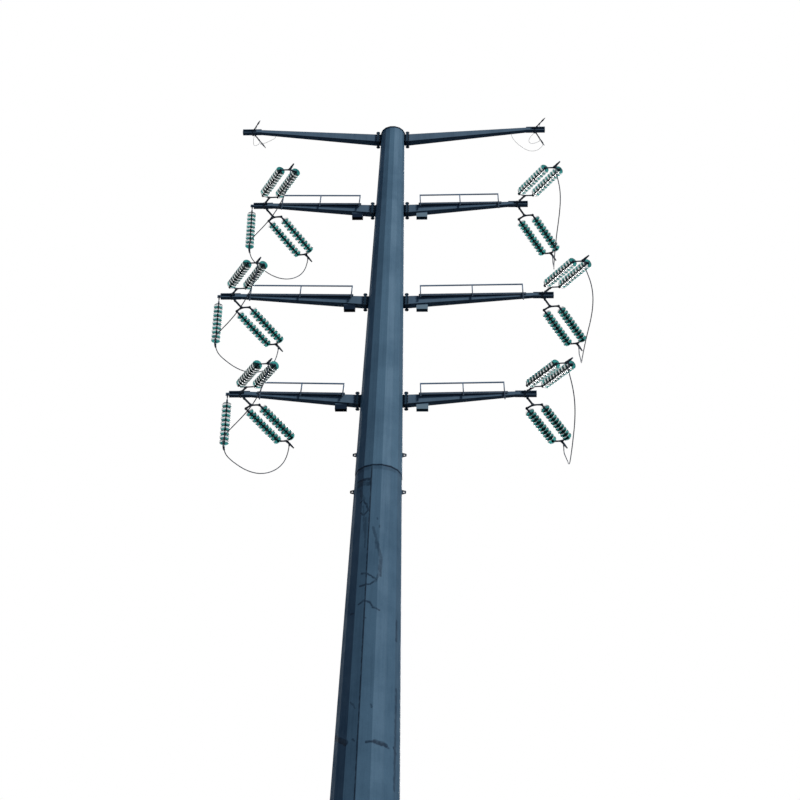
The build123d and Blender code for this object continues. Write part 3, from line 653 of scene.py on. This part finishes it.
bonds = {
    "diameter": 0.010, "lead": 0.05, "drop": 0.04, "loopStation": 0.34,
    "leadStation": {"left": 0.4, "right": 0.54}, "inset": 1.0, "blockLow": 0.2058,
    "loop": {
        "left": [
            (0.43, -0.285, -0.3), (0.4, -0.225, -0.39), (0.37, -0.14, -0.465), (0.35, -0.035, -0.515),
            (0.35, 0.07, -0.51), (0.37, 0.165, -0.45), (0.4, 0.24, -0.36), (0.437, 0.293, -0.275),
            (0.459, 0.322, -0.21)],
        "right": [
            (-0.212, -0.275, -0.29), (-0.3, -0.215, -0.36), (-0.395, -0.135, -0.415),
            (-0.47, -0.045, -0.455), (-0.49, 0.055, -0.48), (-0.44, 0.145, -0.47), (-0.355, 0.215, -0.41),
            (-0.27, 0.27, -0.325), (-0.195, 0.31, -0.24), (-0.155, 0.327, -0.198)]},
    "leadCorners": {
        "left": [
            (0.965, 0.02, -0.3), (0.88, 0.055, -0.33), (0.785, 0.11, -0.33), (0.7, 0.17, -0.315),
            (0.62, 0.235, -0.285), (0.55, 0.3, -0.245), (0.508, 0.355, -0.2)],
        "right": [
            (-0.985, 0.015, -0.32), (-0.92, 0.05, -0.43), (-0.83, 0.09, -0.525), (-0.725, 0.135, -0.6),
            (-0.61, 0.19, -0.655), (-0.485, 0.25, -0.67), (-0.37, 0.315, -0.625), (-0.275, 0.38, -0.54),
            (-0.19, 0.44, -0.44), (-0.12, 0.48, -0.325), (-0.075, 0.5, -0.24)]},
    "lengths": {"left": (1.109, 0.805), "right": (1.260, 1.579)},
}


def makeCord(name, node, route, diameter):
    # Round cord on a NURBS line with the route's points as its control points
    curve = bpy.data.curves.new(name, "CURVE")
    curve.dimensions = "3D"
    curve.bevel_depth, curve.bevel_resolution, curve.use_fill_caps = diameter / 2, 3, True
    spline = curve.splines.new("NURBS")
    spline.points.add(len(route) - 1)
    spline.points.foreach_set("co", np.array([(*point, 1) for point in route]).ravel())
    spline.order_u = 3
    spline.use_endpoint_u = True
    curve.resolution_u = 8
    curve.materials.append(conductor)
    cord = addObject(name, curve)
    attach(cord, "root")
    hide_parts(node)


def outlet(axesOrigin, station, drop, lead):
    # The end of a clamp's tail, and the corner where the cord's straight lead-out ends
    return [fromFrame(axesOrigin, station, 0, -drop), fromFrame(axesOrigin, station, 0, -drop - lead)]


def fromTip(level, side, corners):
    # Corners counted from the middle of the arm's tip at its top
    tip = Vector((sideSign[side] * levels[level]["reach"], 0, levels[level]["top"]))
    return [tip + Vector(corner) for corner in corners]


def jumperRoute(level, side):
    # From the front clamp's tail to the back clamp's, on the left through the saddle of the hanging string
    start = outlet(stringFrame(level, side, -1), strings["tail"], strings["tailDrop"], jumpers["frontLead"])
    end = outlet(stringFrame(level, side, 1), strings["tail"], strings["tailDrop"], jumpers["backLead"])
    if side == "right":
        middle = fromTip(level, side, jumpers["right"][level])
    else:
        saddleDown = strings["hanger"] + strings["jumperDiscs"] * strings["pitch"] + strings["saddle"]
        saddle = fromFrame(hangingFrame(level), saddleDown, 0, 0)
        halfRun = Vector((0, jumpers["saddleRun"] / 2, 0))
        middle = [*fromTip(level, side, jumpers["leftFront"][level]), saddle - halfRun, saddle + halfRun,
                  *fromTip(level, side, jumpers["leftBack"])]
    return start + middle + end[::-1]


def bondRoutes(side):
    # Each loop runs from clamp to clamp, each lead from a block under the arm to the back clamp
    front, back = stringFrame("earth", side, -1), stringFrame("earth", side, 1)
    loop = outlet(front, bonds["loopStation"], bonds["drop"], bonds["lead"])
    loop += fromTip("earth", side, bonds["loop"][side])
    loop += outlet(back, bonds["loopStation"], bonds["drop"], bonds["lead"])[::-1]
    blockX, blockZ = -sideSign[side] * bonds["inset"], -bonds["blockLow"]
    lead = fromTip("earth", side, [(blockX, 0, blockZ), (blockX, 0, blockZ - bonds["lead"]),
                                   *bonds["leadCorners"][side]])
    lead += outlet(back, bonds["leadStation"][side], bonds["drop"], bonds["lead"])[::-1]
    return loop, lead


for level in phaseLevels:
    for side, length in zip(sideSign, jumpers["lengths"][level]):
        makeCord(f"{level}Jumper{side.title()}", f"{level}_jumper_{side}", jumperRoute(level, side),
                 jumpers["diameter"])
for side in sideSign:
    for kind, route, length in zip(("loop", "lead"), bondRoutes(side), bonds["lengths"][side]):
        makeCord(f"earth{kind.title()}{side.title()}", f"earth_{kind}_{side}", route,
                 bonds["diameter"])
print("cords laid")


# Glass discs with their caps and pins, all turned about the string's line

discShape = {
    "glassSides": 12, "metalSides": 8,
    # From the cap's edge over the slope to the rim, then back under it across one rib
    "glass": [(-0.054, 0.040), (-0.044, 0.094), (-0.018, 0.1330), (0.004, 0.130), (-0.016, 0.104),
              (-0.030, 0.024)],
    # The cap from its socket down to its skirt, then the pin through the glass to the next socket
    "metal": [(-0.146, 0.020), (-0.136, 0.027), (-0.100, 0.027), (-0.066, 0.038), (-0.048, 0.038),
              (-0.028, 0.011), (0.004, 0.010)],
}
glassDisc = torus(turnedRings(discShape["glass"], discShape["glassSides"], 0.5)[::-1])
metalCap = turned(discShape["metal"], discShape["metalSides"])


def discPlaces(axesOrigin, firstCap, count, acrossPlaces):
    # A place at every rim along the string, caps towards its start
    return [(axesOrigin[0], fromFrame(axesOrigin, firstCap + (number + 1) * strings["pitch"], across, 0))
            for number in range(count) for across in acrossPlaces]


for level in phaseLevels:
    for side in sideSign:
        places = []
        for way in (-1, 1):
            places += discPlaces(rolledFrame(level, side, way), strings["firstCap"], strings["discs"],
                                 acrossStrings)
        if side == "left":
            places += discPlaces(hangingFrame(level), strings["hanger"], strings["jumperDiscs"], (0,))
        makePiece(f"{level}Glass{side.title()}", copies(glassDisc, places), insulatorGlass,
                  "round", f"{level}_glass_{side}")
        makePiece(f"{level}Caps{side.title()}", copies(metalCap, places), fittingSteel,
                  "round")
print("insulators turned")


# Shaft: the two upper sections, with the upper lip where the photograph has it

tubes = {"overlap": 1.8, "wall": 0.008, "middleWall": 0.010, "clearance": 0.0003, "bevel": 0.003}
bead = {"half": 0.007, "proud": 0.004, "sunk": 0.004, "waver": 0.0012, "waves": 37.0, "rings": 40,
        "points": 5, "below": 0.02}
cap = {"overhang": 0.020, "thickness": 0.022}


def tubeRings(levelsAndInsets):
    # A corner between every two sides: half the width over flats, less each ring's inset
    z, inset = np.array(levelsAndInsets, float).T[:, :, None]
    turn = (np.arange(shaft["sides"]) + 0.5)[None] * 2 * pi / shaft["sides"]
    reach = (halfAcross(z) - inset) / cos(pi / shaft["sides"])
    return np.stack([reach * np.cos(turn), reach * np.sin(turn), z + 0 * turn], -1)


def tube(low, high, inset, wall):
    # Closed tube: down the outside, a small bevel at the lip, up the inside
    bevel = tubes["bevel"]
    return torus(tubeRings([(high, inset), (low + bevel, inset), (low, inset + bevel), (low, inset + wall),
                            (high, inset + wall)])[::-1])


def seamBead(low, high, inset):
    # Half-round weld along a facet: a cross-section carried down the taper, wavering a little
    angle, side = radians(shaftMarksAndShade["seam"]["angle"]), 2 * pi / shaft["sides"]
    out, beside = np.array([sin(angle), -cos(angle)]), np.array([cos(angle), sin(angle)])
    z = np.linspace(high, low, bead["rings"])[:, None]
    facet = (halfAcross(z) - inset) / cos(angle - round(angle / side) * side)
    turn = np.linspace(0, pi, bead["points"])[None]
    lift = facet - bead["sunk"] + (bead["sunk"] + bead["proud"]) * np.sin(turn)
    shift = bead["half"] * np.cos(turn) + bead["waver"] * np.sin(z * bead["waves"])
    x, y = (lift * axis[0] + shift * axis[1] for axis in np.column_stack([out, beside]))
    return shell(np.stack([x, y, z + 0 * turn], -1))


makePiece("shaftTop", tube(shaft["lip"], shaft["top"], 0.0, tubes["wall"]), topSteel, "tube",
          "shaft_top")
capOutline = regular(shaft["across"] + 2 * cap["overhang"], shaft["sides"], pi / shaft["sides"])
makePiece("capPlate", plate(capOutline, shaft["top"], shaft["top"] + cap["thickness"]), seatShadeSteel,
          "cap", "cap_plate")
middleInset = tubes["wall"] + tubes["clearance"]
middleTube = tube(shaft["lowerLip"], shaft["lip"] + tubes["overlap"], middleInset, tubes["middleWall"])
makePiece("shaftMiddle", middleTube, shaftSteel, "tube", "shaft_middle")
makePiece("shaftSeam", seamBead(shaft["lowerLip"], shaft["lip"] - bead["below"], middleInset), shaftSteel,
          "round")
print("shaft sections set")


# Fittings of the tension strings, in the string's own frame

bolt = {"flats": 0.036, "head": 0.014, "washer": 0.003, "shank": 0.6, "shankSides": 8, "end": 1.8}


def throughBolt(x, y, halfGrip, flats=bolt["flats"]):
    # Bolt along Z through a pack of plates, with a head above and a nut below
    head = hexHead(flats, bolt["head"], bolt["washer"])
    flip = np.diag([1.0, -1.0, -1.0])
    shank = regular(flats * bolt["shank"], bolt["shankSides"])
    shank = plate(shank, -halfGrip - bolt["head"] * bolt["end"], halfGrip)
    return merged([placed(head, None, (x, y, halfGrip)), placed(head, flip, (x, y, -halfGrip)),
                   placed(shank, None, (x, y, 0))])


yoke = {"thick": 0.018, "edge": 0.037, "scoop": 0.07, "scoopEnd": 0.3, "cornerPoints": 7, "scoopPoints": 9,
        "nose": [(-0.12, -0.02), (-0.128, 0.0), (-0.12, 0.02)], "shoulder": [(-0.112, 0.034), (-0.085, 0.06)]}


def yokePlate(base, way):
    # Three-cornered plate: nose towards way, round corners at both strings, its long edge scooped in
    half, edge, mirror = strings["spacing"] / 2, yoke["edge"], (1, -1)
    turn = np.linspace(0, pi, yoke["cornerPoints"])
    corner = np.column_stack([-edge * np.cos(turn), half + edge * np.sin(turn)])
    share = np.linspace(1, -1, yoke["scoopPoints"])[1:-1]
    inner = np.column_stack([edge - yoke["scoop"] * (1 - share ** 2),
                             share * (half - edge * yoke["scoopEnd"])])
    nose, shoulder = np.array(yoke["nose"]), np.array(yoke["shoulder"])
    outline = np.vstack([nose, shoulder, corner, inner, (corner * mirror)[::-1], (shoulder * mirror)[::-1]])
    outline = outline * (-1, 1) if way > 0 else outline[::-1]
    return plate(outline + (base, 0), -yoke["thick"] / 2, yoke["thick"] / 2)


cheek = {"width": 0.036, "thick": 0.010, "gap": 0.002, "short": 0.025}
stem = {"back": 0.03, "past": 0.004, "radii": (0.018, 0.024, 0.014), "bevels": (0.006, 0.008), "sides": 10}


def clevis(start, end, across, toCap):
    # Two cheeks beside the yoke's corner, a bolt through them and a round stem to the disc
    lift, thick = yoke["thick"] / 2 + cheek["gap"], cheek["thick"]
    parts = strapPair(start, end - cheek["short"] * toCap, cheek["width"], lift, thick, across)[::-1]
    low, high = sorted((end - stem["back"] * toCap, end + stem["past"] * toCap))
    (first, middle, last), (lowBevel, highBevel) = stem["radii"], stem["bevels"]
    profile = [(low, first), (low + lowBevel, middle), (high - highBevel, middle), (high, last)]
    parts.append(placed(turned(profile, stem["sides"]), None, (0, across, 0)))
    return merged(parts + [throughBolt(start, across, lift + thick)])


link = {"eyeEnd": 0.17, "eyeWidth": 0.05, "eyeThick": 0.02, "start": 0.155, "end": 0.445, "width": 0.044,
        "thick": 0.010}


def tensionLink():
    # Eye at the fork's pin and the two straps that go on to the inner yoke
    half, thick = link["eyeThick"] / 2, link["thick"]
    start, end = link["start"], link["end"]
    return [strap(0, link["eyeEnd"], link["eyeWidth"], -half, half),
            *strapPair(start, end, link["width"], half, thick),
            *(throughBolt(x, 0, half + thick) for x in (start, end))]


def yokesPair():
    # The two yokes with a clevis at both ends of each string between them
    parts = [yokePlate(strings["innerYoke"], -1), yokePlate(strings["outerYoke"], 1)]
    for across in acrossStrings:
        parts.append(clevis(strings["innerYoke"], strings["firstCap"], across, 1))
        parts.append(clevis(strings["outerYoke"], strings["lastRim"], across, -1))
    return parts


clamp = {"back": 0.015, "end": 0.06, "width": 0.05, "lift": 0.011, "thick": 0.010, "barrelSides": 16,
         "barrel": [(0.035, 0.020), (0.045, 0.029), (0.075, 0.031), (0.15, 0.031), (0.16, 0.026),
                    (0.24, 0.024), (0.25, 0.021), (0.3, 0.0195)], "tailSides": 12,
         "tail": [(0.012, 0.026), (0.035, 0.023), (0.06, 0.021), (0.085, 0.019), (0.09, 0.016)]}
downward = np.array([(0.0, 0.0, -1.0), (0.0, 1.0, 0.0), (1.0, 0.0, 0.0)])


def strainClamp():
    # Cheeks on the outer yoke's nose, a tapered barrel and the bolted tail that the jumper leaves
    start, lift, thick = strings["clampStart"], clamp["lift"], clamp["thick"]
    back, end = start - clamp["back"], start + clamp["end"]
    return [*strapPair(back, end, clamp["width"], lift, thick)[::-1],
            throughBolt(back, 0, lift + thick), turned(clamp["barrel"], clamp["barrelSides"], start),
            placed(turned(clamp["tail"], clamp["tailSides"]), downward, (strings["tail"], 0, 0))]


forkBolt = {"flats": 0.042, "sunk": 0.018}


def forkBolts(level, side):
    # Upright bolts that hold both strings' links in the arm's fork; the earth arms' highest heads are sunk
    x = sideSign[side] * (levels[level]["reach"] - strings["pinInset"])
    middle = levels[level]["top"] - strings["tipDepth"] / 2 - (forkBolt["sunk"] if level == "earth" else 0)
    halfGrip = strings["tipDepth"] / 2 + forkPlate
    return [placed(throughBolt(0, y, halfGrip, forkBolt["flats"]), None, (x, 0, middle))
            for y in (-strings["pinOffset"], strings["pinOffset"])]


hanger = {"cheekSpan": (-0.016, 0.075), "cheekSize": (0.010, 0.034), "cheekAcross": 0.014, "sides": 12,
          "stem": [(0.06, 0.014), (0.07, 0.020), (0.1, 0.020), (0.11, 0.012), (0.17, 0.012), (0.18, 0.022),
                   (0.215, 0.024), (0.229, 0.014)],
          "foot": [(0, 0.012), (0.01, 0.022), (0.035, 0.022), (0.045, 0.012), (0.075, 0.012)],
          "strapSpan": (0.06, 0.175), "strapWidth": 0.03, "strapHalf": 0.018, "strapThick": 0.008}
saddle = {"length": 0.2, "width": 0.056, "narrowing": 0.25, "depth": 0.034, "thinning": 0.014, "lower": 0.004,
          "upturn": 0.012, "rings": 9, "points": 12}


def hangingFittings():
    # Shackle and links above the discs; below them two straps and the boat that carries the jumper
    end = strings["hanger"] + strings["jumperDiscs"] * strings["pitch"]
    parts = [bar(*hanger["cheekSpan"], *hanger["cheekSize"], across)
             for across in (-hanger["cheekAcross"], hanger["cheekAcross"])]
    parts += [turned(hanger["stem"], hanger["sides"]), turned(hanger["foot"], hanger["sides"], end)]
    first, last = hanger["strapSpan"]
    parts += strapPair(end + first, end + last, hanger["strapWidth"], hanger["strapHalf"],
                       hanger["strapThick"])
    u = np.linspace(-1, 1, saddle["rings"])[:, None]
    around = np.linspace(0, 2 * pi, saddle["points"], endpoint=False)[None]
    depth = saddle["depth"] - saddle["thinning"] * u ** 2
    x = end + strings["saddle"] + saddle["lower"] - saddle["upturn"] * u ** 2 + depth * np.cos(around)
    y = saddle["length"] / 2 * u + 0 * around
    z = saddle["width"] / 2 * (1 - saddle["narrowing"] * u ** 2) * np.sin(around)
    return parts + [shell(np.stack([x, y, z], -1))]


def buildFittings(level, side):
    # Links and clamps hang upright, the yokes and clevises between them are rolled with the glass
    parts = forkBolts(level, side)
    upright, rolled = merged(tensionLink() + strainClamp()), merged(yokesPair())
    for way in (-1, 1):
        parts.append(placed(upright, *stringFrame(level, side, way)))
        parts.append(placed(rolled, *rolledFrame(level, side, way)))
    if side == "left":
        parts.append(placed(merged(hangingFittings()), *hangingFrame(level)))
    makePiece(f"{level}Fittings{side.title()}", merged(parts), fittingSteel, "fitting",
              f"{level}_fittings_{side}")


earthLink = {"eye": 0.13, "eyeWidth": 0.036, "overlap": 0.012, "end": 0.30, "width": 0.030, "grip": 0.006,
             "boltFlats": 0.024, "barrelStart": 0.29, "barrelSides": 12,
             "barrel": [(0, 0.010), (0.02, 0.016), (0.13, 0.016), (0.15, 0.0225), (0.26, 0.0225),
                        (0.28, 0.015), (0.36, 0.011)],
             "tail": [(0, 0.014), (0.02, 0.011), (bonds["drop"], 0.008)], "tailSides": 10}


def earthClampParts(stations):
    # Eye, two thin straps, a tapered barrel that the wire leaves, and a small tail at each bond's station
    grip, start = earthLink["grip"], earthLink["eye"] - earthLink["overlap"]
    stub, end = turned(earthLink["tail"], earthLink["tailSides"]), earthLink["end"]
    return merged([strap(0, earthLink["eye"], earthLink["eyeWidth"], -grip, grip),
                   *strapPair(start, end, earthLink["width"], grip, grip),
                   *(throughBolt(x, 0, 2 * grip, earthLink["boltFlats"]) for x in (start, end)),
                   turned(earthLink["barrel"], earthLink["barrelSides"], earthLink["barrelStart"]),
                   *(placed(stub, downward, (station, 0, 0)) for station in stations)])


def buildEarthClamps():
    # A loop joins both clamps of an arm, and only the back one carries the lead as well
    parts = []
    for side in sideSign:
        parts += forkBolts("earth", side)
        parts.append(placed(earthClampParts([bonds["loopStation"]]), *stringFrame("earth", side, -1)))
        stations = [bonds["loopStation"], bonds["leadStation"][side]]
        parts.append(placed(earthClampParts(stations), *stringFrame("earth", side, 1)))
    makePiece("earthClamps", merged(parts), fittingSteel, "fitting", "earth_clamps")


for level in phaseLevels:
    for side in sideSign:
        buildFittings(level, side)
buildEarthClamps()
print("fittings made")


# Bolts of the arms' flanges and of the base

flangeBolts = {"flats": 0.046, "height": 0.02, "washer": 0.004, "edge": 0.028, "rows": 5}


def armFlangeBolts(level):
    # Two columns of bolts through each pair of flanges, a head on the arm's face and one on the seat's
    parts = []
    low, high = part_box(level + "_arm_seats")
    head = hexHead(flangeBolts["flats"], flangeBolts["height"], flangeBolts["washer"])
    halfWidth = (high.y - low.y) / 2 - flangeBolts["edge"]
    rows = np.linspace(low.z + flangeBolts["edge"], high.z - flangeBolts["edge"], flangeBolts["rows"])
    for sign in (-1, 1):
        for face, way in ((high.x + flangePlate, 1), (high.x - flangePlate, -1)):
            axes = np.array([(0, 0, 1), (0, -way * sign, 0), (way * sign, 0, 0)], float)
            parts += [placed(head, axes, (sign * face, y, z)) for y in (-halfWidth, halfWidth) for z in rows]
    return merged(parts)


for level in levels:
    makePiece(level + "FlangeBolts", armFlangeBolts(level), boltSteel, "fitting")

anchor = {"count": 16, "circle": 2.36284, "flats": 0.1, "washer": 0.012, "nut": 0.052, "lockNut": 0.032,
          "lockTurn": 0.3, "lockChamfer": 0.005, "stud": 0.072, "studSides": 16, "studChamfer": 0.004,
          "proud": 0.05, "plate": 0.06}


def anchorBolts():
    # Washer, nut, lock nut and stud end at every hole of the base flange
    nutTop, lockNut = anchor["washer"] + anchor["nut"], anchor["lockNut"]
    lock = plate(regular(anchor["flats"], 6, anchor["lockTurn"]), 0, lockNut, anchor["lockChamfer"])
    stud = plate(regular(anchor["stud"], anchor["studSides"]), 0, nutTop + lockNut + anchor["proud"],
                 anchor["studChamfer"])
    stack = merged([hexHead(anchor["flats"], anchor["nut"], anchor["washer"]),
                    placed(lock, None, (0, 0, nutTop)), stud])
    angle = (np.arange(anchor["count"]) + 0.5) * 2 * pi / anchor["count"]
    return copies(stack, [(np.array([(cos(a), sin(a), 0), (-sin(a), cos(a), 0), (0, 0, 1)]),
                           (anchor["circle"] / 2 * cos(a), anchor["circle"] / 2 * sin(a), anchor["plate"]))
                          for a in angle])


makePiece("anchorNuts", anchorBolts(), boltSteel, "fitting")
print("bolts set")


# Stage: pale floor, white surroundings, the main light from the right in front and a soft one from behind

stage = {"radii": (0.0001, 10.0, 30.0, 70.0), "sides": 64, "level": -0.002,
         "pale": (0.62, 0.62, 0.61, 1), "bounce": (0.025, 0.03, 0.04, 1), "roughness": 0.9, "specular": 0.1,
         # Each lamp's strength, angle, azimuth from the front and elevation
         "lamps": [(4.1, 14.0, 49.0, 38.0), (2.4, 40.0, 182.0, 35.0)],
         "white": (1, 1, 1, 1), "ambient": (0.42, 0.64, 1.0, 1), "ambientStrength": 0.24}


def seenMask(tree):
    # 1 for rays by which the camera sees a thing, also in a mirror or through glass, and 0 for all others
    rays = addNode(tree, "LightPath").outputs
    return maths(tree, "MAXIMUM", rays["Is Camera Ray"], rays["Is Glossy Ray"], rays["Is Transmission Ray"])


def makeFloor(values):
    # Flat disc, rings of points by radius and angle
    radius = np.array(values["radii"])[:, None]
    angle = np.linspace(0, 2 * pi, values["sides"], endpoint=False)[None]
    z = values["level"] + 0 * radius * angle
    rings = np.stack([radius * np.cos(angle), radius * np.sin(angle), z], -1)
    mesh = bpy.data.meshes.new("floor")
    faces = netFaces(len(values["radii"]), values["sides"])[:, ::-1]
    mesh.from_pydata(rings.reshape(-1, 3).tolist(), [], faces.tolist())
    material, tree, shader = newMaterial("floorPaper")[:3]
    setInputs(tree, shader, {"Base Color": mixColor(tree, seenMask(tree), values["bounce"], values["pale"]),
                             "Roughness": values["roughness"], "Specular IOR Level": values["specular"]})
    mesh.materials.append(material)
    addObject("floor", mesh)


def makeLight(values):
    # Each lamp shines from its azimuth and elevation; the surroundings are white where they are seen
    for energy, angle, azimuth, elevation in values["lamps"]:
        sun = bpy.data.lights.new("sun", "SUN")
        sun.energy, sun.angle = energy, radians(angle)
        lamp = addObject("sun", sun)
        turn, lift = radians(azimuth), radians(elevation)
        towards = Vector((sin(turn) * cos(lift), -cos(turn) * cos(lift), sin(lift)))
        lamp.rotation_mode = "QUATERNION"
        lamp.rotation_quaternion = towards.to_track_quat("Z", "Y")
    world = bpy.data.worlds.new("surroundings")
    world.use_nodes = True
    bpy.context.scene.world = world
    tree = world.node_tree
    seen = seenMask(tree)
    strength = addNode(tree, "MapRange", {"Value": seen, "To Min": values["ambientStrength"], "To Max": 1.0})
    setInputs(tree, tree.nodes["Background"], {
        "Color": mixColor(tree, seen, values["ambient"], values["white"]),
        "Strength": strength.outputs["Result"]})


makeFloor(stage)
makeLight(stage)
bpy.context.scene.view_settings.view_transform = "Standard"
print("stage lit")
